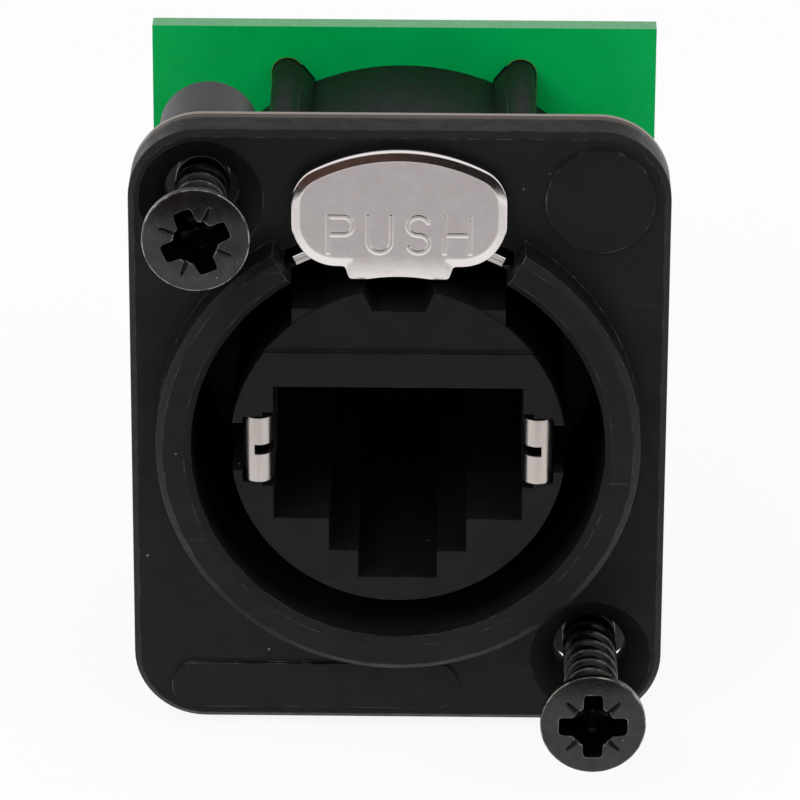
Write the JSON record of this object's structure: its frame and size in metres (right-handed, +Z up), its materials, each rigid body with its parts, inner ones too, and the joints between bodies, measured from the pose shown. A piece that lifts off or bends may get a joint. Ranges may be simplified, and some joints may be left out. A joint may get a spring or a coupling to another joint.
{
  "type": "ethernet feedthrough adapter",
  "caption": "Panel-mount ethernet feedthrough: round locking socket with push latch on a D-size flange, circuit board and second socket behind.",
  "frame": {"origin": "on the socket's axis, in the plane of the ground plate's rear face, where the panel meets it", "axes": "+X across the flange to the right seen from the front, +Y rearward along the socket's axis, +Z up"},
  "size_m": [0.026, 0.0444, 0.031],
  "materials": {
    "black_plastic": "moulded, satin",
    "ground_metal": "plain sheet",
    "nickel_plate": "nickel plated, polished",
    "spring_steel": "bright",
    "gold_contact": "gold plated",
    "green_board": "solder mask over glass laminate",
    "can_metal": "tinned sheet",
    "dark_steel": "blackened, oiled",
    "grey_plastic": "moulded, matt"
  },
  "bodies": {
    "connector": {"front_housing": "black_plastic", "ground_plate": "ground_metal", "port_insert": "black_plastic", "shield_tab_left": "nickel_plate", "shield_tab_right": "nickel_plate", "front_contact_block": "black_plastic", "latch_pivot_pin": "spring_steel", "latch_spring": "spring_steel", "circuit_board": "green_board", "rear_jack": "black_plastic", "rear_jack_can": "can_metal", "rear_contact_block": "black_plastic", "upper_screw": "dark_steel", "lower_screw": "dark_steel", "upper_screw_sleeve": "grey_plastic", "lower_screw_sleeve": "grey_plastic", "front_contact_1": "gold_contact", "front_contact_2": "gold_contact", "front_contact_3": "gold_contact", "front_contact_4": "gold_contact", "front_contact_5": "gold_contact", "front_contact_6": "gold_contact", "front_contact_7": "gold_contact", "front_contact_8": "gold_contact", "rear_contact_1": "gold_contact", "rear_contact_2": "gold_contact", "rear_contact_3": "gold_contact", "rear_contact_4": "gold_contact", "rear_contact_5": "gold_contact", "rear_contact_6": "gold_contact", "rear_contact_7": "gold_contact", "rear_contact_8": "gold_contact"},
    "latch": {"push_latch": "nickel_plate"}
  },
  "joints": [
    {"name": "latch_press", "type": "hinge", "parent": "connector", "child": "latch", "pos_m": [0, -0.0019, 0.01143], "axis": [-1, 0, 0], "range_deg": [0, 7], "stiffness_Nm_per_rad": 0.04, "springref_deg": -8.59, "deforming": ["latch_spring"]}
  ]
}
